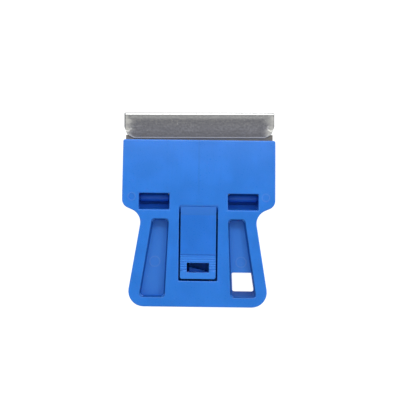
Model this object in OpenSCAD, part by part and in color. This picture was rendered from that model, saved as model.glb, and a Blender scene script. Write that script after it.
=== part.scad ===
// Pocket razor-blade scraper: a one-piece handle, a rocking clamp lever whose
// rear jaw holds the blade, and a backed single-edge blade stored edge inwards.
// Millimetres. +Z is out of the front face, +Y towards the blade, the back
// rests on z = 0 and the origin is under the middle of the whole scraper.

/* [Overall] */
// Length over the handle and the stored blade
overall_len = 50.3; // [50:0.1:51]
// Length of the handle from base to mouth
handle_len = 42.9; // [42.6:0.1:43.1]
// Width of the head
head_w = 39.3; // [39.1:0.1:42]
// Thickness of the grip
body_t = 8; // [8:0.1:8.4]

/* [Grip outline] */
// Half width of the grip where its sides meet the shoulders
waist_x = 14.5; // [14.2:0.1:14.8]
// Half width of the grip at its base, before the corners are rounded
base_x = 18.45; // [17.6:0.1:18.8]
// Radius of the base corners
base_corner_r = 3.9; // [3:0.1:5]
// Radius of the shoulder corners
shoulder_r = 2.3; // [1.5:0.1:2.4]
// Radius of the finger hollows under the shoulders
hollow_r = 3.5; // [2:0.1:4]

/* [Head] */
// Slope of the front face just above the crease, in degrees
crease_slope = 3.5; // [2:0.5:4]
// Thickness of the nose at the mouth
nose_t = 5.2; // [5:0.1:5.6]

/* [Recesses] */
// Depth of the two front recesses
recess_depth = 2.2; // [1.8:0.1:2.4]
// Thickness of the web behind each front recess
web_t = 2; // [1.6:0.1:2.2]
// Draft of the recess walls, as an inset at the floor
draft_inset = 0.3; // [0.1:0.05:0.4]

/* [Clamp lever] */
// Width of the lever plate
lever_w = 9.1; // [8.8:0.1:9.2]
// Gap around the lever plate
lever_gap = 0.4; // [0.3:0.05:0.5]
// Number of thumb grooves
groove_count = 7; // [5:1:7]
// Spacing of the thumb grooves
groove_pitch = 0.63; // [0.55:0.01:0.63]

/* [Blade] */
// Width of the blade steel
blade_w = 38.1; // [37.8:0.1:38.3]
// Height of the blade with its back
blade_h = 19.05; // [18.9:0.05:19.1]
// Thickness of the blade steel
blade_t = 0.25; // [0.2:0.01:0.27]
// Width of the folded back
spine_w = 38.9; // [38.6:0.1:39.1]
// Height of the folded back
spine_h = 6.6; // [6.2:0.1:6.7]
// Thickness of the folded back
spine_t = 1.2; // [1.1:0.05:1.25]
// Skew of the blade in its jaws, in degrees
blade_skew = 0.6; // [0:0.1:0.6]
// Sideways shift of the blade in its jaws
blade_shift = -0.1; // [-0.1:0.05:0.1]

/* [Hidden] */

eps = 0.01;
through = 0.1;
far = 60;
round_fn = 48;

// Lengths along the scraper
top_y = overall_len / 2;
base_y = -overall_len / 2;
mouth_y = base_y + handle_len;
crease_y = -1.6;
waist_y = -1.5;
shoulder_y = 0.75;
mouth_corner_r = 0.5;

// Hinge of the lever
pivot_y = 2.87;
pivot_z = 3.4;
shaft_r = 0.75;
bearing_r = 0.8;
barrel_r = 1.05;
barrel_x = [7.95, 14.95];
shaft_end_x = 16.9;
socket_end_x = 17.3;
snap_slot_w = 1.3;
snap_tilt = 35;
side_gap = 0.05;

// Windows over the hinge barrels
window_x = [7.5, 15.35];
window_y = [-0.25, 3.9];
window_floor_z = 3.4;
barrel_well_y = [1.05, 5.4];
barrel_well_z = 4.7;
well_floor_z = 2.2;
well_knee_y = 4;
gate_y = 2.2;

// Blade slot between the jaws
blade_z = 2.9;
pocket_half = 0.65;
lip_half = blade_t / 2 + 0.03;
lip_y = mouth_y - 5;
jaw_split_y = 4.9;

// Opening for the lever plate
open_half = lever_w / 2 + lever_gap;
stem_half = lever_w / 2 - side_gap;
throat_half = lever_w / 2 + side_gap;
open_top_y = 1.15;
plate_end_y = base_y + 7.2;
end_gap = lever_gap + 0.1;
open_end_y = plate_end_y - end_gap;
face_z_at_top = 7.8;
lip_face_r = norm([open_top_y - pivot_y, face_z_at_top - pivot_z]);
lip_gap = 0.15;
lip_bottom_z = 6.2;
cradle_y = -3.4;
cradle_web_z = [2.2, 3.4];
catch_y = -16.4;
catch_half = 3.4;
catch_gap = 0.2;
catch_nose_x = [-2.4, 2];
catch_nose_y = [-14.95, -15.95];
catch_nose_z = 5;

// Recesses in the grip, as x at the inner and outer edge
recess_top = [-2.7, 7.65, 11.85];
recess_bottom = [-22.6, 8.5, 14.95];
recess_r = 0.7;
hang_top_y = -16.35;
hang_bottom_y = -21.55;
hang_inset = 0.65;
hang_outer_inset = 0.1;
hang_r = 0.5;
base_core_x = 6.2;
base_core_y = [-23.4, -20.2];
base_core_depth = 3.9;

// Round marks on the front, as x, y and radius: a sunk disc and thin raised rings
mark_depth = 0.12;
face_z_at_mark = 7.6;
ring_rise = 0.05;
ring_w = 0.2;
head_mark = [17.2, 3, 0.95];
web_mark = [11.1, -13.65, 1.3];

// Lever plate and its parts
plate_t = 1.5;
plate_z = body_t - plate_t;
plate_corner_r = 0.5;
plate_slope = 7;
leg_y = [-3.2, -1.6];
arm_z = [2.6, 4.1];
rib_x = 3.4;
rib_w = 0.8;
rib_bottom_z = 4.9;
rib_end_y = -16.4;
slot_half = 2.85;
slot_y = [-16.35, -13.8];
thumb_y = [-16.15, -11.6];
thumb_ramp = 0.55;
thumb_depth = 0.2;
groove_w = 0.36;
groove_depth = 0.13;
hook_half = 3;
hook_y = [-17.6, -16.6];
barb_y = catch_y - side_gap;

// Rear jaw
jaw_half = head_w / 2 - 0.1;
jaw_back_z = 0.15;
jaw_end_y = mouth_y - 0.1;
jaw_nose_z = 0.9;
jaw_nose_y = mouth_y - 4;

// Blade details
edge_y = top_y - blade_h;
bevel_h = 0.9;
notch_y = [19.35, 21.6];
notch_depth = 1.5;
spine_bite = 0.01;
spine_corner = [[0, 3.75, 0.8], [0.7, 5.65, 0.3], [2.4, spine_h, 0.3]];
crimp_r = [0.6, 1.1];
crimp_depth = 0.14;
bead_rise = 0.07;
crimp_inset = 0.85;
crimp_drop = 3.95;

// Unit vector from one point to another
function unit(v) = v / norm(v);

// The list in reverse order
function reversed(list) = [for (i = [len(list) - 1 : -1 : 0]) list[i]];

// Points of the arc of radius r that rounds corner b of the path a, b, c
function corner_arc(a, b, c, r, steps = 8) =
    let (u = unit(a - b),
         v = unit(c - b),
         half = acos(u * v) / 2,
         centre = b + unit(u + v) * (r / sin(half)),
         start = b + u * (r / tan(half)) - centre,
         end = b + v * (r / tan(half)) - centre,
         from = atan2(start[1], start[0]),
         turn = atan2(start[0] * end[1] - start[1] * end[0], start * end))
    [for (i = [0 : steps])
        let (t = from + turn * i / steps) centre + r * [cos(t), sin(t)]];

// A polygon whose corners are [x, y, r], each rounded to radius r
function rounded(corners) =
    let (n = len(corners))
    [for (i = [0 : n - 1])
        let (a = corners[(i + n - 1) % n], b = corners[i], c = corners[(i + 1) % n])
        each b[2] == 0 ? [[b[0], b[1]]]
            : corner_arc([a[0], a[1]], [b[0], b[1]], [c[0], c[1]], b[2])];

// A box from its low corner to its high corner
module span(low, high) {
    translate(low) cube(high - low);
}

// A cylinder along X between two x values, centred on y and z
module x_rod(x0, x1, y, z, r, fn = round_fn) {
    translate([x0, y, z]) rotate([0, 90, 0]) cylinder(h = x1 - x0, r = r, $fn = fn);
}

// A profile drawn as [y, z] points, extruded along X between two x values
module x_profile(x0, x1, points) {
    translate([x0, 0, 0]) rotate([90, 0, 90]) linear_extrude(x1 - x0) polygon(points);
}

// Its child on the right, and again mirrored to the left
module both_sides() {
    children();
    mirror([1, 0, 0]) children();
}

// Outline corners of one half of the handle, for s = 1 on the right and -1 on the left
function half_plan(s) = [
    [s * head_w / 2, mouth_y, mouth_corner_r],
    [s * head_w / 2, shoulder_y, shoulder_r],
    [s * waist_x, waist_y, hollow_r],
    [s * base_x, base_y, base_corner_r]];

// Plan of the handle
module plan() {
    polygon(rounded(concat(half_plan(1), reversed(half_plan(-1)))));
}

// Everything under the front face: flat over the grip, then sloping away from
// the crease and curving down to the nose. A steeper slope suits the lever.
module under_front_face(slope) {
    run = mouth_y - crease_y;
    drop = body_t - nose_t;
    r = (run * run + drop * drop) / (2 * (drop * cos(slope) - run * sin(slope)));
    span([-far, base_y - 1, -1], [far, crease_y, body_t]);
    intersection() {
        x_rod(-far, far, crease_y - r * sin(slope), body_t - r * cos(slope), r, 720);
        span([-far, crease_y - eps, -1], [far, mouth_y + 1, body_t]);
    }
}

// Distance out from the middle of a recess's inner or outer edge (1 or 2) at a given y
function recess_x(edge, y) =
    let (part = (recess_top[0] - y) / (recess_top[0] - recess_bottom[0]))
    recess_top[edge] + part * (recess_bottom[edge] - recess_top[edge]);

// Plan of one recess, pulled in by the given inset
module recess_plan(inset) {
    polygon(rounded([
        [recess_top[1] + inset, recess_top[0] - inset, recess_r],
        [recess_top[2] - inset, recess_top[0] - inset, recess_r],
        [recess_bottom[2] - inset, recess_bottom[0] + inset, recess_r],
        [recess_bottom[1] + inset, recess_bottom[0] + inset, recess_r]]));
}

// One drafted recess, from z_open at its mouth to z_floor
module recess(z_open, z_floor) {
    low = min(z_open, z_floor);
    hull() {
        translate([0, 0, z_open - (z_open == low ? 0 : eps)])
            linear_extrude(eps) recess_plan(0);
        translate([0, 0, z_floor - (z_floor == low ? 0 : eps)])
            linear_extrude(eps) recess_plan(draft_inset);
    }
}

// Plan of the hang hole, in the outer part of the right recess
module hang_plan(inner_inset, bottom_y) {
    polygon(rounded([
        [recess_x(1, hang_top_y) + inner_inset, hang_top_y, hang_r],
        [recess_x(2, hang_top_y) - hang_outer_inset, hang_top_y, hang_r],
        [recess_x(2, bottom_y) - hang_outer_inset, bottom_y, hang_r],
        [recess_x(1, bottom_y) + inner_inset, bottom_y, hang_r]]));
}

// The hang hole, narrowing from the front face to the back
module hang_hole() {
    hull() {
        translate([0, 0, body_t + through]) linear_extrude(eps)
            hang_plan(draft_inset, recess_bottom[0] + eps);
        translate([0, 0, -through]) linear_extrude(eps)
            hang_plan(hang_inset, hang_bottom_y);
    }
}

// Space under the front jaw: the spine pocket and the lip that grips the blade
module jaw_space() {
    ceiling = blade_z + pocket_half;
    span([-far, jaw_split_y, -1], [far, mouth_y + 1, blade_z + lip_half]);
    span([-far, jaw_split_y, -1], [far, lip_y, ceiling]);
}

// The well of one hinge barrel, the gate behind it and the window over it
module barrel_well() {
    x_profile(window_x[0], window_x[1], [
        [barrel_well_y[0], well_floor_z],
        [barrel_well_y[0], barrel_well_z],
        [well_knee_y, barrel_well_z],
        [barrel_well_y[1], blade_z + pocket_half],
        [barrel_well_y[1], well_floor_z]]);
    span([barrel_x[0] - side_gap, gate_y, -1],
        [barrel_x[1] + side_gap, barrel_well_y[1], well_floor_z + eps]);
    span([window_x[0], window_y[0], window_floor_z], [window_x[1], window_y[1], far]);
}

// Bearings of the hinge shaft, each with a slanted slot to snap the shaft in from behind
module bearings() {
    for (x = [[throat_half - eps, window_x[0] + eps], [window_x[1] - eps, socket_end_x]]) {
        x_rod(x[0], x[1], pivot_y, pivot_z, bearing_r);
        translate([0, pivot_y, pivot_z]) rotate([snap_tilt, 0, 0])
            span([x[0], -snap_slot_w / 2, -body_t], [x[1], snap_slot_w / 2, 0]);
    }
}

// The lever's opening in the front face, its cradle and the catch for its hook
module lever_opening() {
    difference() {
        span([-open_half, open_end_y, cradle_web_z[1]], [open_half, pivot_y, far]);
        x_rod(-far, far, pivot_y, pivot_z, lip_face_r, 240);
    }
    x_profile(-open_half, open_half, [
        [cradle_y, cradle_web_z[1]],
        [cradle_y, lip_bottom_z],
        [well_knee_y, lip_bottom_z],
        [barrel_well_y[1], blade_z + pocket_half],
        [barrel_well_y[1], cradle_web_z[1]]]);
    span([-throat_half, cradle_y, -1], [throat_half, barrel_well_y[1], cradle_web_z[1] + eps]);
    span([-throat_half, open_end_y, -1], [throat_half, cradle_y + eps, cradle_web_z[0]]);
    span([-catch_half, hook_y[0] - catch_gap, 0], [catch_half, catch_y, body_t]);
}

// The nose on the web beside the catch, with a slanted front
module catch_nose() {
    z = cradle_web_z[1] - eps;
    translate([0, 0, z]) linear_extrude(catch_nose_z - z) polygon([
        [catch_nose_x[0], catch_y],
        [catch_nose_x[1], catch_y],
        [catch_nose_x[1], catch_nose_y[1]],
        [catch_nose_x[0], catch_nose_y[0]]]);
}

// A tube round a mark, whose top is cut to the height of its child
module mark_ring(mark) {
    intersection() {
        translate([mark[0], mark[1], web_t]) difference() {
            cylinder(h = body_t, r = mark[2] + ring_w / 2, $fn = round_fn);
            translate([0, 0, -1]) cylinder(h = far, r = mark[2] - ring_w / 2, $fn = round_fn);
        }
        children();
    }
}

// The thin rings that the ejector pins leave standing on the front
module raised_rings(web_top) {
    both_sides() {
        mark_ring(head_mark) translate([0, 0, ring_rise]) intersection() {
            under_front_face(crease_slope);
            span([-far, -far, body_t - 1], [far, far, body_t]);
        }
        mark_ring(web_mark) span([-far, -far, web_top - eps], [far, far, web_top + ring_rise]);
    }
}

module handle_body() {
    web_top = body_t - recess_depth;
    mark_z = face_z_at_mark - mark_depth;
    color([0.16, 0.42, 0.85]) difference() {
        intersection() {
            linear_extrude(body_t) plan();
            under_front_face(crease_slope);
        }
        jaw_space();
        lever_opening();
        both_sides() {
            recess(body_t, web_top);
            barrel_well();
            bearings();
        }
        mirror([1, 0, 0]) recess(0, web_top - web_t);
        difference() {
            recess(0, web_top - web_t);
            span([0, base_y, -1], [far, hang_top_y - hang_r, body_t]);
        }
        hang_hole();
        translate([-head_mark[0], head_mark[1], mark_z])
            cylinder(h = body_t, r = head_mark[2], $fn = round_fn);
        span([-base_core_x, base_core_y[0], -1], [base_core_x, base_core_y[1], base_core_depth]);
    }
    color([0.16, 0.42, 0.85]) {
        catch_nose();
        raised_rings(web_top);
    }
}

// The lever plate, rounded at its free corners and cut back round the hinge
module lever_plate() {
    difference() {
        intersection() {
            linear_extrude(body_t) polygon(rounded([
                [lever_w / 2, pivot_y, 0],
                [lever_w / 2, plate_end_y, plate_corner_r],
                [-lever_w / 2, plate_end_y, plate_corner_r],
                [-lever_w / 2, pivot_y, 0]]));
            x_profile(-lever_w, lever_w, [
                [plate_end_y - 1, plate_z],
                [pivot_y, plate_z],
                [pivot_y, body_t - (pivot_y - crease_y) * tan(plate_slope)],
                [crease_y, body_t],
                [plate_end_y - 1, body_t]]);
        }
        x_rod(-far, far, pivot_y, pivot_z, lip_face_r + lip_gap, 240);
        thumb_grip();
        span([-slot_half, slot_y[0], 0], [slot_half, slot_y[1], far]);
    }
}

// The sunk, grooved thumb grip near the free end
module thumb_grip() {
    floor_z = body_t - thumb_depth;
    x_profile(-lever_w, lever_w, [
        [thumb_y[1], floor_z],
        [thumb_y[1], far],
        [thumb_y[0], far],
        [thumb_y[0], body_t],
        [thumb_y[0] + thumb_ramp, floor_z]]);
    for (i = [0 : groove_count - 1]) {
        y = thumb_y[1] - i * groove_pitch;
        x_profile(-lever_w, lever_w, [
            [y, floor_z + eps],
            [y - groove_w, floor_z + eps],
            [y - groove_w / 2, floor_z - groove_depth]]);
    }
}

// The leg and arm that join the plate to the hinge, and the two stiffening ribs
module lever_stem() {
    x_profile(-stem_half, stem_half, [
        [leg_y[0], arm_z[0]],
        [pivot_y, arm_z[0] - 0.15],
        [pivot_y, arm_z[1] + 0.15],
        [leg_y[1], arm_z[1]],
        [leg_y[1], plate_z + eps],
        [leg_y[0], plate_z + eps]]);
    both_sides()
        span([rib_x, rib_end_y, rib_bottom_z], [rib_x + rib_w, leg_y[0] + eps, plate_z + eps]);
}

// The hook that snaps under the cradle web
module lever_hook() {
    barb_z = cradle_web_z[0] - 0.4;
    x_profile(-hook_half, hook_half, [
        [hook_y[0], plate_z + eps],
        [hook_y[0], barb_z - 0.4],
        [hook_y[0] + 0.5, barb_z - 1.1],
        [hook_y[1], barb_z - 1.1],
        [barb_y, barb_z - 0.3],
        [barb_y, barb_z],
        [hook_y[1], barb_z + 0.25],
        [hook_y[1], plate_z + eps]]);
}

// The shaft with its two barrels
module lever_shaft() {
    x_rod(-shaft_end_x, shaft_end_x, pivot_y, pivot_z, shaft_r);
    both_sides() x_rod(barrel_x[0], barrel_x[1], pivot_y, pivot_z, barrel_r);
}

// The rear jaw, and the arms that carry it on the barrels and the stem
module rear_jaw() {
    pocket_z = blade_z - pocket_half;
    back_y = [jaw_split_y + 0.64, jaw_split_y + 1.2];
    x_profile(-jaw_half, jaw_half, [
        [back_y[1], jaw_back_z],
        [jaw_nose_y, jaw_back_z],
        [jaw_end_y, jaw_nose_z],
        [jaw_end_y, blade_z - lip_half],
        [lip_y, blade_z - lip_half],
        [lip_y, pocket_z],
        [back_y[0], pocket_z]]);
    arm = [
        [pivot_y - 0.7, pivot_z - 0.5],
        [pivot_y + 0.7, pivot_z + 0.6],
        [back_y[1], pocket_z],
        [back_y[1] + 0.5, jaw_back_z],
        [back_y[1] - 0.2, jaw_back_z],
        [pivot_y + 0.3, pivot_z - 1.9]];
    both_sides() x_profile(barrel_x[0], barrel_x[1], arm);
    x_profile(-stem_half, stem_half, arm);
}

module clamp_lever() {
    color([0.17, 0.43, 0.84]) {
        lever_plate();
        lever_stem();
        lever_hook();
        lever_shaft();
        rear_jaw();
    }
}

// Its child turned about the blade's upper right corner and shifted, as the jaws hold it
module skewed() {
    translate([spine_w / 2 + blade_shift, top_y, 0]) rotate(blade_skew)
        translate([-spine_w / 2, -top_y, 0]) children();
}

// The blade steel: a thin sheet ground to an edge at its inner end, with a
// notch in each side under the folded back
module blade() {
    half_t = blade_t / 2;
    top = top_y - spine_t / 2;
    color([0.35, 0.34, 0.33]) skewed() difference() {
        x_profile(-blade_w / 2, blade_w / 2, [
            [edge_y, blade_z],
            [edge_y + bevel_h, blade_z - half_t],
            [top, blade_z - half_t],
            [top, blade_z + half_t],
            [edge_y + bevel_h, blade_z + half_t]]);
        both_sides() {
            notch_r = (notch_y[1] - notch_y[0]) / 2;
            notch_x = blade_w / 2 - notch_depth + notch_r;
            translate([notch_x, notch_y[0] + notch_r, 0])
                cylinder(h = body_t, r = notch_r, $fn = round_fn);
            span([notch_x, notch_y[0], 0], [far, notch_y[1], body_t]);
        }
    }
}

// Outline corners of one half of the folded back, with its lower corner cut off
function half_spine(s) = concat(
    [[s * spine_w / 2, top_y, 0.3]],
    [for (c = spine_corner) [s * (spine_w / 2 - c[0]), top_y - c[1], c[2]]]);

// The folded back: one strip bent tightly round the blade, with a bead at the
// fold, and crimped at both ends
module blade_spine() {
    r = spine_t / 2;
    leg = r - bead_rise;
    fold_y = top_y - r;
    inner_half = blade_t / 2 - spine_bite;
    color([0.72, 0.73, 0.74]) skewed() difference() {
        intersection() {
            linear_extrude(body_t)
                polygon(rounded(concat(half_spine(1), reversed(half_spine(-1)))));
            union() {
                x_rod(-spine_w, spine_w, fold_y, blade_z, r);
                span([-spine_w, 0, blade_z - leg], [spine_w, fold_y, blade_z + leg]);
            }
        }
        x_rod(-far, far, fold_y, blade_z, inner_half);
        span([-far, 0, blade_z - inner_half], [far, fold_y, blade_z + inner_half]);
        both_sides() for (side = [0, 1])
            translate([spine_w / 2 - crimp_inset, top_y - crimp_drop, blade_z])
                mirror([0, 0, side]) translate([0, 0, leg - crimp_depth])
                    cylinder(h = crimp_depth + eps, r1 = crimp_r[0], r2 = crimp_r[1], $fn = round_fn);
    }
}

handle_body();
clamp_lever();
blade();
blade_spine();
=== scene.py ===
import math

import bpy
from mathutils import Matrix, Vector


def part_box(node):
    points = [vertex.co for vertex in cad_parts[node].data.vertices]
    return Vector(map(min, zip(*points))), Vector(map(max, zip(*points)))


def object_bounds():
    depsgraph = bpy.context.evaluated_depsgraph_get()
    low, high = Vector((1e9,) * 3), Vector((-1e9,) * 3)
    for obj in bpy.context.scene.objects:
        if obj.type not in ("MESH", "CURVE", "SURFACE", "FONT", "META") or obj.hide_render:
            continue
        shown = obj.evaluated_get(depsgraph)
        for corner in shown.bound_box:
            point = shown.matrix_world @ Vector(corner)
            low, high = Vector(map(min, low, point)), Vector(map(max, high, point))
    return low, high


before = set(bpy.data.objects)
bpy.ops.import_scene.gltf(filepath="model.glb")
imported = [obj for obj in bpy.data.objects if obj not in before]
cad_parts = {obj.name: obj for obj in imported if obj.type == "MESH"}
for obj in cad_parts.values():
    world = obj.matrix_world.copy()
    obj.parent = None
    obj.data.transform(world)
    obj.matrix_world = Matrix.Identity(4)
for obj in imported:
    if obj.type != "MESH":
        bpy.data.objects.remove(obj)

cad_low, cad_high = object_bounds()
MM = 0.001

# Colours in linear red, green and blue
HANDLE_BLUE = (0.018, 0.194, 0.720)
LEVER_BLUE = (0.0145, 0.178, 0.705)
# Painted light: the tones of the lever's sloped ramp and of its ribbed thumb grip
RAMP_PAINTED_LIGHT_BLUE = (0.016, 0.156, 0.585)
THUMB_PAINTED_LIGHT_BLUE = (0.028, 0.235, 0.790)
# Painted light on the recess floors
PAINTED_LIGHT_FLOOR_BLUE = (0.033, 0.215, 0.740)
# Painted shade on the recess walls and the deep ledges
PAINTED_SHADE_BLUE = (0.006, 0.070, 0.330)
# Pale dust specks, and also the painted highlight on the rims of the moulding marks
DUST_AND_HIGHLIGHT = (0.45, 0.62, 0.90)
SPINE_STEEL = (0.53, 0.535, 0.60)
SPINE_WARM = (0.51, 0.51, 0.505)
# Pale flecks and scratches, and also the painted highlight on the spine's fold
SPINE_PALE_AND_HIGHLIGHT = (0.86, 0.87, 0.86)
# Paler towards the spine's ends, and also the painted highlight just below its fold
PALE_END_AND_HIGHLIGHT_STEEL = (0.66, 0.66, 0.63)
# Painted highlight along the spine's lower edge
EDGE_HIGHLIGHT_STEEL = (0.72, 0.71, 0.67)
BLADE_STEEL = (0.385, 0.36, 0.325)
FLOOR_GREY = (0.2, 0.2, 0.2)

# Places on the scraper in the row frame, in millimetres. Where a feature has a mirror
# image on the left, only the right-hand one is given.
BLADE_SKEW = 0.6  # degrees that the blade lies off square
SPINE_END_X = 19.35
SPINE_TOP_Y = 25.15
SPINE_H = 6.6
# Ends of the spine's cut-off corner: inwards from its end, and down from its fold
CUT_START = (0.7, 5.65)
CUT_END = (2.4, SPINE_H)
CREASE_Y = -1.6
THUMB_Y = -11.6
LIP_END_Y = -18.0
LEVER_TOP_Y = 4.0
WELD_X = 0.2
RECESS_FLOOR_Z = 5.8
RECESS_TOP_Y = -2.6
RECESS_BOTTOM_Y = -22.7
RECESS_EDGE_X = 11.5  # outer edge, where its line crosses y = 0
RECESS_LEAN = 0.156  # how far that edge moves outwards per millimetre down the grip

# Round moulding marks: x, y and radius
HEAD_MARK = (17.2, 3.0, 0.95)
WEB_MARK = (11.1, -13.65, 1.3)
MARK_MARGIN = 0.4
# Width of the painted highlight ring round each mark
MARK_LINE = 0.22

# Boxes whose edges stay sharp: a bevel there would swallow small details or crease a flat
HINGE_ZONE = ((-17.6, 0.8, -1.0), (17.6, 6.2, 5.0))
RECESS_ZONES = (((7.4, -12.0, 0.5), (13.6, -2.4, 7.7)), ((7.4, -22.9, 0.5), (15.2, -12.0, 7.7)))
HOLE_ZONE = ((8.0, -22.9, -1.0), (15.2, -15.9, 7.7))
GRIP_ZONE = ((-5.0, -16.2, 7.4), (5.0, -11.5, 8.1))

# Degrees past which an edge is bevelled, degrees within which neighbouring faces are
# joined into one, and millimetres within which points are welded
BEVEL_ANGLE = 32
FLAT_ANGLE = 0.5
WELD_REACH = 0.001

# The camera, in millimetres and degrees: its place, its height above the blade, its
# turn, and the width that it sees at the blade
CAMERA_X = 0.34
CAMERA_Y = 2.26
CAMERA_DISTANCE = 300
CAMERA_TURN = 0.7
VIEW_WIDTH = 104
SENSOR_WIDTH = 36

# The light tent: heights on the unit sphere between which it fades to its dim top
TENT_FADE = (0.83, 0.915)
# The floor, in millimetres: half its width, and how far it lies below the scraper
FLOOR_HALF_WIDTH = 3000
FLOOR_GAP = 0.05

ACROSS = (1, 0, 0)
LENGTHWISE = (0, 1, 0)
UP = (0, 0, 1)


def shade(colour, factor):
    """The colour, with each part multiplied by the factor."""
    return tuple(factor * part for part in colour)


class Graph:
    """Builds the node tree of one material."""

    def __init__(self, name):
        self.material = bpy.data.materials.new(name)
        self.material.use_nodes = True
        self.tree = self.material.node_tree
        self.shader = self.tree.nodes["Principled BSDF"]

    def add(self, kind, **settings):
        """A new node of this kind, with its settings."""
        node = self.tree.nodes.new(kind)
        for key, value in settings.items():
            setattr(node, key, value)
        return node

    def join(self, source, socket):
        self.tree.links.new(source, socket)

    def put(self, value, socket):
        """Sets a socket to a number or colour, or joins another node's output to it."""
        if isinstance(value, bpy.types.NodeSocket):
            self.join(value, socket)
        elif isinstance(value, tuple) and len(value) == 3 and socket.type == "RGBA":
            socket.default_value = (*value, 1)
        else:
            socket.default_value = value

    def coords(self, stretch=(1, 1, 1), turn=0):
        """Object coordinates in millimetres, divided by the stretch along each axis."""
        source = self.add("ShaderNodeTexCoord")
        mapping = self.add("ShaderNodeMapping")
        mapping.inputs["Scale"].default_value = [1 / (MM * factor) for factor in stretch]
        mapping.inputs["Rotation"].default_value = (0, 0, math.radians(turn))
        self.join(source.outputs["Object"], mapping.inputs["Vector"])
        return mapping.outputs["Vector"]

    def noise(self, coords, size, detail=3, rough=0.5):
        """Noise between 0 and 1 with features about size millimetres across."""
        node = self.add("ShaderNodeTexNoise")
        node.inputs["Scale"].default_value = 1 / size
        node.inputs["Detail"].default_value = detail
        node.inputs["Roughness"].default_value = rough
        self.join(coords, node.inputs["Vector"])
        return node.outputs["Fac"]

    def between(self, value, low, high, out_low=0.0, out_high=1.0):
        """Maps the range low..high to out_low..out_high, smoothly and clamped."""
        node = self.add("ShaderNodeMapRange", interpolation_type="SMOOTHSTEP")
        self.join(value, node.inputs["Value"])
        for socket, number in zip(list(node.inputs)[1:5], (low, high, out_low, out_high)):
            socket.default_value = number
        return node.outputs["Result"]

    def math(self, operation, first, second=0.0):
        """The result of an operation on one or two values."""
        node = self.add("ShaderNodeMath", operation=operation)
        self.put(first, node.inputs[0])
        self.put(second, node.inputs[1])
        return node.outputs[0]

    def mix(self, factor, first, second):
        """The first colour where the factor is 0, and the second where it is 1."""
        node = self.add("ShaderNodeMix", data_type="RGBA")
        self.put(factor, node.inputs["Factor"])
        self.put(first, node.inputs[6])
        self.put(second, node.inputs[7])
        return node.outputs[2]

    def tint(self, colour, mask, amount, target):
        """Takes the colour part of the way to the target where the mask is 1."""
        return self.mix(self.math("MULTIPLY", mask, amount), colour, target)

    def raised(self, value, mask, amount):
        """Adds the amount to the value where the mask is 1."""
        return self.math("ADD", value, self.math("MULTIPLY", mask, amount))

    def bump(self, height, distance, strength, normal=None):
        """A bumped normal, from a height between 0 and 1 and a depth in millimetres."""
        node = self.add("ShaderNodeBump")
        node.inputs["Strength"].default_value = strength
        node.inputs["Distance"].default_value = distance * MM
        self.join(height, node.inputs["Height"])
        if normal:
            self.join(normal, node.inputs["Normal"])
        return node.outputs["Normal"]

    def along(self, direction, origin=(0, 0, 0)):
        """Distance in millimetres from the origin along a direction, over the surface."""
        node = self.add("ShaderNodeVectorMath", operation="DOT_PRODUCT")
        self.join(self.coords(), node.inputs[0])
        node.inputs[1].default_value = direction
        offset = sum(d * o for d, o in zip(direction, origin))
        return self.math("SUBTRACT", node.outputs["Value"], offset)

    def normal_z(self):
        """The surface normal's upward part, from -1 to 1."""
        split = self.add("ShaderNodeSeparateXYZ")
        self.join(self.add("ShaderNodeNewGeometry").outputs["Normal"], split.inputs[0])
        return split.outputs["Z"]

    def upright(self):
        """1 on walls, falling to 0 where the surface faces up or down."""
        return self.between(self.math("ABSOLUTE", self.normal_z()), 0.35, 0.7, 1.0, 0.0)

    def facing_up(self):
        """1 where the surface faces up, and 0 where it faces sideways or down."""
        return self.between(self.normal_z(), 0.5, 0.8)

    def from_middle(self):
        """Distance in millimetres from the scraper's middle plane, on either side."""
        return self.math("ABSOLUTE", self.along(ACROSS))

    def ring(self, mark, width):
        """1 on a ring of the mark's radius round it and round its mirror image."""
        x, y, radius = mark
        across = self.math("SUBTRACT", self.from_middle(), x)
        along = self.math("SUBTRACT", self.along(LENGTHWISE), y)
        squares = self.math("ADD", self.math("POWER", across, 2.0), self.math("POWER", along, 2.0))
        return self.band(self.math("SQRT", squares), radius, width / 2, width / 2)

    def band(self, value, centre, half, soft):
        """1 within half of the centre, falling to 0 over the soft width."""
        away = self.math("ABSOLUTE", self.math("SUBTRACT", value, centre))
        return self.between(away, half, half + soft, 1.0, 0.0)

    def zone(self, direction, ends, soft):
        """1 between two places along a direction, falling to 0 over the soft width."""
        low, high = ends
        return self.band(self.along(direction), (low + high) / 2, (high - low) / 2, soft)

    def finish(self, colour, roughness, normal, **constants):
        """Joins the three main sockets, sets any others to constants, and gives the material."""
        self.join(colour, self.shader.inputs["Base Color"])
        self.join(roughness, self.shader.inputs["Roughness"])
        self.join(normal, self.shader.inputs["Normal"])
        for key, value in constants.items():
            self.shader.inputs[key.replace("_", " ").title()].default_value = value
        return self.material


def weld_line(g):
    """The faint wavering line up the middle of the head, where two plastic flows met."""
    wander = g.math("MULTIPLY", g.noise(g.coords(), 5), 0.4)
    line = g.band(g.math("ADD", g.along(ACROSS), wander), WELD_X, 0.1, 0.25)
    return g.math("MULTIPLY", line, g.between(g.along(LENGTHWISE), 1.5, 6))


def within_recesses(g):
    """1 between the outer edges of the two long recesses, from their top to their bottom."""
    leaned = g.math("MULTIPLY", g.along(LENGTHWISE), RECESS_LEAN)
    outwards = g.math("ADD", g.from_middle(), leaned)
    across = g.between(outwards, RECESS_EDGE_X, RECESS_EDGE_X + 0.1, 1, 0)
    return g.math("MULTIPLY", across, g.zone(LENGTHWISE, (RECESS_BOTTOM_Y, RECESS_TOP_Y), 0.1))


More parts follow.
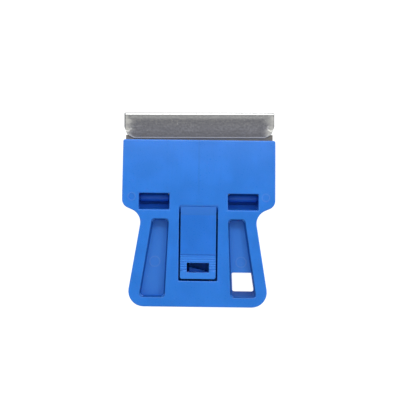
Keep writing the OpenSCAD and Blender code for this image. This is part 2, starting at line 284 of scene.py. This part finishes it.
def shade_recesses(g, colour, roughness):
    """Paints light onto the recess floors, and paints shade onto the walls and the deep ledges, which it
    also dulls.
    """
    within = within_recesses(g)
    level = g.band(g.along(UP), RECESS_FLOOR_Z, 0.25, 0.2)
    # Painted light on the recess floors
    floors = g.math("MULTIPLY", level, within)
    colour = g.tint(colour, floors, 0.8, PAINTED_LIGHT_FLOOR_BLUE)
    roughness = g.raised(roughness, floors, 0.15)
    # Painted shade on the recess walls and on the deep ledges
    walls = g.math("MULTIPLY", g.upright(), within)
    colour = g.tint(colour, walls, 0.75, PAINTED_SHADE_BLUE)
    deep = g.math("MULTIPLY", g.facing_up(), g.band(g.along(UP), 3, 1.7, 0.4))
    colour = g.tint(colour, deep, 0.45, PAINTED_SHADE_BLUE)
    shaded = g.math("MAXIMUM", walls, deep)
    g.join(g.between(shaded, 0, 1, 0.5, 0.1), g.shader.inputs["Specular IOR Level"])
    return colour, g.raised(roughness, walls, 0.4)


def moulded_plastic(name, blue, rough_painted_light_zones=(), is_handle=False):
    """Satin blue plastic with faint flow marks, dust and handling scratches, and some painted light and
    shade.
    """
    g = Graph(name)
    coords = g.coords()
    clouds = g.between(g.noise(coords, 7, 2), 0.3, 0.7)
    grain = g.between(g.noise(coords, 0.35, 4, 0.7), 0.25, 0.75)
    flow = g.between(g.noise(g.coords((0.7, 9, 4), 28), 1, 3), 0.4, 0.75)
    darker = shade(blue, 0.93)
    lighter = tuple(min(1, 1.05 * part + 0.004) for part in blue)
    colour = g.mix(clouds, darker, lighter)
    colour = g.tint(colour, grain, 0.2, lighter)
    colour = g.tint(colour, flow, 0.3, darker)
    roughness = g.between(grain, 0, 1, 0.27, 0.34)
    # Each zone gets a painted light tone, and is made rougher
    for ends, painted_light_blue in rough_painted_light_zones:
        zone = g.zone(LENGTHWISE, ends, 0.1)
        colour = g.tint(colour, zone, 0.7, painted_light_blue)
        roughness = g.raised(roughness, zone, 0.15)
    if is_handle:
        colour = g.tint(colour, weld_line(g), 0.35, shade(blue, 0.8))
        colour, roughness = shade_recesses(g, colour, roughness)
        # Painted highlight on the rims of the moulding marks
        rim_highlights = g.math("MAXIMUM", g.ring(HEAD_MARK, MARK_LINE), g.ring(WEB_MARK, MARK_LINE))
        colour = g.tint(colour, rim_highlights, 0.08, DUST_AND_HIGHLIGHT)
    specks = g.between(g.noise(g.coords((1, 1.8, 1), 15), 0.28, 2, 0.4), 0.78, 0.83)
    colour = g.tint(colour, specks, 0.5, DUST_AND_HIGHLIGHT)
    scratches = g.between(g.noise(g.coords((6, 0.12, 3), 24), 1, 2), 0.68, 0.74)
    roughness = g.raised(roughness, scratches, 0.12)
    sink = g.bump(g.noise(coords, 5, 1), 0.05, 0.4)
    normal = g.bump(grain, 0.006, 0.6, sink)
    return g.finish(colour, roughness, normal, subsurface_weight=0.12, subsurface_scale=0.6 * MM)


def plated_colour(g, mottle, patches, below_fold):
    """The spine's flat: mottled, patchy and flecked, warm at the top and dark at the bottom."""
    flecks = g.between(g.noise(g.coords(turn=37), 0.55, 1), 0.68, 0.76)
    scratches = g.between(g.noise(g.coords((3, 0.08, 1), 8), 1, 3), 0.64, 0.7)
    warmth = g.mix(g.between(below_fold, 1.5, 5.0), SPINE_WARM, SPINE_STEEL)
    colour = g.mix(mottle, shade(SPINE_STEEL, 0.74), warmth)
    colour = g.tint(colour, patches, 0.5, shade(SPINE_STEEL, 0.72))
    colour = g.tint(colour, flecks, 0.4, SPINE_PALE_AND_HIGHLIGHT)
    colour = g.tint(colour, g.between(below_fold, 4.2, 6.3), 0.6, shade(SPINE_STEEL, 0.62))
    return g.tint(colour, scratches, 0.3, SPINE_PALE_AND_HIGHLIGHT)


def lower_edge_band(g, below_fold, from_end):
    """1 along the spine's lower edge and its cut-off corners."""
    (start_in, start_down), (end_in, end_down) = CUT_START, CUT_END
    slope = math.atan2(end_down - start_down, end_in - start_in)
    reach = start_down * math.cos(slope) - start_in * math.sin(slope)
    downwards = g.math("MULTIPLY", below_fold, math.cos(slope))
    corner = g.raised(downwards, from_end, -math.sin(slope))
    past_edge = g.math("MAXIMUM", g.math("SUBTRACT", below_fold, SPINE_H), g.math("SUBTRACT", corner, reach))
    return g.band(past_edge, -0.12, 0.08, 0.1)


def rolled_steel(name):
    """Dull plated strip, mottled, scratched and paler at its ends, with painted highlights and painted shade
    by its fold and edges.
    """
    g = Graph(name)
    skew = math.radians(BLADE_SKEW)
    below_fold = g.along((math.sin(skew), -math.cos(skew), 0), (SPINE_END_X, SPINE_TOP_Y, 0))
    from_end = g.math("SUBTRACT", SPINE_END_X, g.from_middle())
    mottle = g.between(g.noise(g.coords(), 0.5, 2, 0.5), 0.25, 0.75)
    patches = g.between(g.noise(g.coords((2.5, 1, 1)), 1.6, 3), 0.35, 0.7)
    colour = plated_colour(g, mottle, patches, below_fold)
    near_ends = g.between(g.raised(g.from_middle(), patches, 1.2), 16.8, 19.6)
    # Painted highlight just below the fold
    highlight_below_fold = g.between(below_fold, 0.95, 2.2, 1.0, 0.0)
    pale = g.math("MAXIMUM", near_ends, g.math("MULTIPLY", highlight_below_fold, 0.55))
    colour = g.mix(pale, colour, PALE_END_AND_HIGHLIGHT_STEEL)
    # Painted highlight on the fold's rounded top
    fold = g.between(below_fold, 0.6, 0.72, 1.0, 0.0)
    colour = g.mix(fold, colour, SPINE_PALE_AND_HIGHLIGHT)
    # Painted shade: a dark line along the spine's outline and just under its fold
    outer_edge = g.between(below_fold, 0.16, 0.28, 1.0, 0.0)
    end_edge = g.between(from_end, 0.05, 0.2, 1.0, 0.0)
    outline = g.math("MAXIMUM", outer_edge, end_edge)
    under_fold = g.band(below_fold, 0.85, 0.08, 0.1)
    shadows = g.math("MAXIMUM", g.math("MULTIPLY", outline, 0.9), g.math("MULTIPLY", under_fold, 0.25))
    colour = g.mix(shadows, colour, shade(SPINE_STEEL, 0.2))
    # Painted highlight along the lower edge and its cut-off corners
    edge_highlight = lower_edge_band(g, below_fold, from_end)
    colour = g.tint(colour, edge_highlight, 0.3, EDGE_HIGHLIGHT_STEEL)
    roughness = g.raised(g.between(mottle, 0, 1, 0.29, 0.35), pale, 0.2)
    roughness = g.raised(roughness, edge_highlight, 0.35)
    # The outline isn't metallic, because metal seen edge on mirrors the white floor
    g.join(g.between(outline, 0, 1, 1.0, 0.0), g.shader.inputs["Metallic"])
    g.join(g.between(outline, 0, 1, 0.5, 0.1), g.shader.inputs["Specular IOR Level"])
    return g.finish(colour, roughness, g.bump(mottle, 0.005, 0.4))


def dark_steel(name):
    """Dark hardened steel with fine grinding lines along its width."""
    g = Graph(name)
    clouds = g.between(g.noise(g.coords(), 7, 2), 0.3, 0.7)
    lines = g.noise(g.coords((8, 0.05, 1)), 1, 2)
    colour = g.mix(clouds, shade(BLADE_STEEL, 0.9), BLADE_STEEL)
    colour = g.mix(g.between(lines, 0.35, 0.65, 0.0, 0.6), colour, shade(BLADE_STEEL, 0.72))
    roughness = g.between(lines, 0.3, 0.7, 0.38, 0.5)
    return g.finish(colour, roughness, g.bump(lines, 0.003, 0.5), metallic=0.9)


def floor_material():
    """A white floor that glows, so that it stays white under the soft light."""
    g = Graph("floor_white")
    colour = g.mix(g.noise(g.coords(), 40, 2), FLOOR_GREY, shade(FLOOR_GREY, 0.99))
    g.join(colour, g.shader.inputs["Base Color"])
    g.shader.inputs["Roughness"].default_value = 0.9
    g.shader.inputs["Emission Color"].default_value = (1, 1, 1, 1)
    g.shader.inputs["Emission Strength"].default_value = 1.0
    return g.material


def both_sides(low, high):
    """The box, and its mirror image on the left."""
    return [(low, high), ((-high[0], *low[1:]), (-low[0], *high[1:]))]


def around_mark(mark):
    """The boxes round a mark and its mirror image, from the back to the front."""
    x, y, radius = mark
    reach = radius + MARK_MARGIN
    return both_sides((x - reach, y - reach, -1), (x + reach, y + reach, 9))


def sharp_edges(name, spared):
    """Nodes that weight a mesh's sharp edges for the bevel. Inside the spared boxes they stay sharp."""
    tree = bpy.data.node_groups.new(name, "GeometryNodeTree")
    tree.interface.new_socket("Geometry", in_out="INPUT", socket_type="NodeSocketGeometry")
    tree.interface.new_socket("Geometry", in_out="OUTPUT", socket_type="NodeSocketGeometry")

    def add(kind, *values, **settings):
        node = tree.nodes.new(kind)
        for key, value in settings.items():
            setattr(node, key, value)
        for socket, value in zip(node.inputs, values):
            if isinstance(value, bpy.types.NodeSocket):
                tree.links.new(value, socket)
            else:
                socket.default_value = value
        return node.outputs

    angle = add("GeometryNodeInputMeshEdgeAngle")["Unsigned Angle"]
    place = add("GeometryNodeInputPosition")["Position"]
    sharp = add("ShaderNodeMath", angle, math.radians(BEVEL_ANGLE), operation="GREATER_THAN")[0]
    weight = sharp
    for low, high in spared:
        centre = [MM * (a + b) / 2 for a, b in zip(low, high)]
        half = [MM * (b - a) / 2 for a, b in zip(low, high)]
        offset = add("ShaderNodeVectorMath", place, centre, operation="SUBTRACT")[0]
        part = add("ShaderNodeVectorMath", offset, half, operation="DIVIDE")[0]
        size = add("ShaderNodeSeparateXYZ", add("ShaderNodeVectorMath", part, operation="ABSOLUTE")[0])
        widest = add("ShaderNodeMath", size[0], size[1], operation="MAXIMUM")[0]
        widest = add("ShaderNodeMath", widest, size[2], operation="MAXIMUM")[0]
        outside = add("ShaderNodeMath", widest, 1.0, operation="GREATER_THAN")[0]
        weight = add("ShaderNodeMath", weight, outside, operation="MULTIPLY")[0]
    spared_edges = add("ShaderNodeMath", sharp, weight, operation="SUBTRACT")[0]
    mesh = tree.nodes.new("NodeGroupInput").outputs[0]
    stored = (("FLOAT", "bevel_weight_edge", weight), ("BOOLEAN", "sharp_edge", spared_edges))
    for kind, attribute, value in stored:
        store = tree.nodes.new("GeometryNodeStoreNamedAttribute")
        store.data_type = kind
        store.domain = "EDGE"
        store.inputs["Name"].default_value = attribute
        tree.links.new(value, store.inputs["Value"])
        tree.links.new(mesh, store.inputs["Geometry"])
        mesh = store.outputs["Geometry"]
    tree.links.new(mesh, tree.nodes.new("NodeGroupOutput").inputs[0])
    return tree


def dress(name, material, edge, segments, spared=()):
    """Gives a CAD node its material, and bevels its sharp edges to a width in millimetres."""
    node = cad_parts[name]
    node.data.materials.clear()
    node.data.materials.append(material)
    weld = node.modifiers.new("weld", "WELD")
    weld.merge_threshold = WELD_REACH * MM
    flats = node.modifiers.new("flats", "DECIMATE")
    flats.decimate_type = "DISSOLVE"
    flats.angle_limit = math.radians(FLAT_ANGLE)
    edges = node.modifiers.new("edges", "NODES")
    edges.node_group = sharp_edges(name + "_edges", spared)
    bevel = node.modifiers.new("bevel", "BEVEL")
    bevel.width = edge * MM
    bevel.segments = segments
    bevel.limit_method = "WEIGHT"
    bevel.use_clamp_overlap = not spared
    normals = node.modifiers.new("normals", "WEIGHTED_NORMAL")
    normals.keep_sharp = True
    for face in node.data.polygons:
        face.use_smooth = True


def make_camera():
    """A long lens straight above the scraper, turned a little against its length."""
    data = bpy.data.cameras.new("camera")
    data.sensor_width = SENSOR_WIDTH
    data.lens = SENSOR_WIDTH * CAMERA_DISTANCE / VIEW_WIDTH
    data.clip_start = 10 * MM
    data.clip_end = 5
    camera = bpy.data.objects.new("camera", data)
    blade_z = sum(corner.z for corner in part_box("blade")) / 2
    camera.location = (CAMERA_X * MM, CAMERA_Y * MM, blade_z + CAMERA_DISTANCE * MM)
    camera.rotation_euler = (0, 0, math.radians(CAMERA_TURN))
    bpy.context.scene.collection.objects.link(camera)
    bpy.context.scene.camera = camera


def make_floor():
    """A wide plain floor, just under the scraper's back."""
    mesh = bpy.data.meshes.new("floor")
    half = FLOOR_HALF_WIDTH * MM
    corners = [(-half, -half, 0), (half, -half, 0), (half, half, 0), (-half, half, 0)]
    mesh.from_pydata(corners, [], [(0, 1, 2, 3)])
    mesh.materials.append(floor_material())
    floor = bpy.data.objects.new("floor", mesh)
    floor.location.z = cad_low.z - FLOOR_GAP * MM
    bpy.context.scene.collection.objects.link(floor)


def area_light(name, location, size, power):
    """A soft rectangular light, in metres and watts, aimed at the scraper."""
    data = bpy.data.lights.new(name, "AREA")
    data.shape = "RECTANGLE"
    data.size, data.size_y = size
    data.energy = power
    light = bpy.data.objects.new(name, data)
    light.location = location
    aim = -Vector(location)
    light.rotation_euler = aim.to_track_quat("-Z", "Y").to_euler()
    bpy.context.scene.collection.objects.link(light)


def make_world(around, overhead, lean):
    """A light tent, dim overhead where the camera is, and brighter towards lean."""
    world = bpy.data.worlds.new("studio")
    bpy.context.scene.world = world
    world.use_nodes = True
    tree = world.node_tree
    source = tree.nodes.new("ShaderNodeTexCoord")
    split = tree.nodes.new("ShaderNodeSeparateXYZ")
    height = tree.nodes.new("ShaderNodeMapRange")
    for socket, number in zip(list(height.inputs)[1:5], (*TENT_FADE, around, overhead)):
        socket.default_value = number
    side = tree.nodes.new("ShaderNodeVectorMath")
    side.operation = "DOT_PRODUCT"
    side.inputs[1].default_value = lean
    strength = tree.nodes.new("ShaderNodeMath")
    strength.operation = "MULTIPLY_ADD"
    background = tree.nodes["Background"]
    background.inputs["Color"].default_value = (1, 1, 1, 1)
    tree.links.new(source.outputs["Generated"], split.inputs["Vector"])
    tree.links.new(source.outputs["Generated"], side.inputs[0])
    tree.links.new(split.outputs["Z"], height.inputs["Value"])
    tree.links.new(height.outputs["Result"], strength.inputs[0])
    tree.links.new(side.outputs["Value"], strength.inputs[1])
    tree.links.new(height.outputs["Result"], strength.inputs[2])
    tree.links.new(strength.outputs[0], background.inputs["Strength"])


make_camera()
make_world(around=0.95, overhead=0.26, lean=(0.12, 0.25, 0.0))
area_light("back", (0.12, 0.63, 0.59), (0.8, 0.25), 2.7)
make_floor()

handle_plastic = moulded_plastic("handle_plastic", HANDLE_BLUE, is_handle=True)
# Painted light on the lever's sloped ramp and on its ribbed thumb grip
lever_zones = (((CREASE_Y, LEVER_TOP_Y), RAMP_PAINTED_LIGHT_BLUE), ((LIP_END_Y, THUMB_Y), THUMB_PAINTED_LIGHT_BLUE))
lever_plastic = moulded_plastic("lever_plastic", LEVER_BLUE, rough_painted_light_zones=lever_zones)
handle_spared = around_mark(HEAD_MARK) + around_mark(WEB_MARK) + [HINGE_ZONE, HOLE_ZONE]
for zone in RECESS_ZONES:
    handle_spared += both_sides(*zone)
dress("handle_body", handle_plastic, edge=0.3, segments=3, spared=handle_spared)
dress("clamp_lever", lever_plastic, edge=0.12, segments=2, spared=[GRIP_ZONE, HINGE_ZONE])
dress("blade", dark_steel("blade_steel"), edge=0.02, segments=1)
dress("blade_spine", rolled_steel("spine_steel"), edge=0.16, segments=3)
bpy.context.scene.view_settings.view_transform = "Standard"
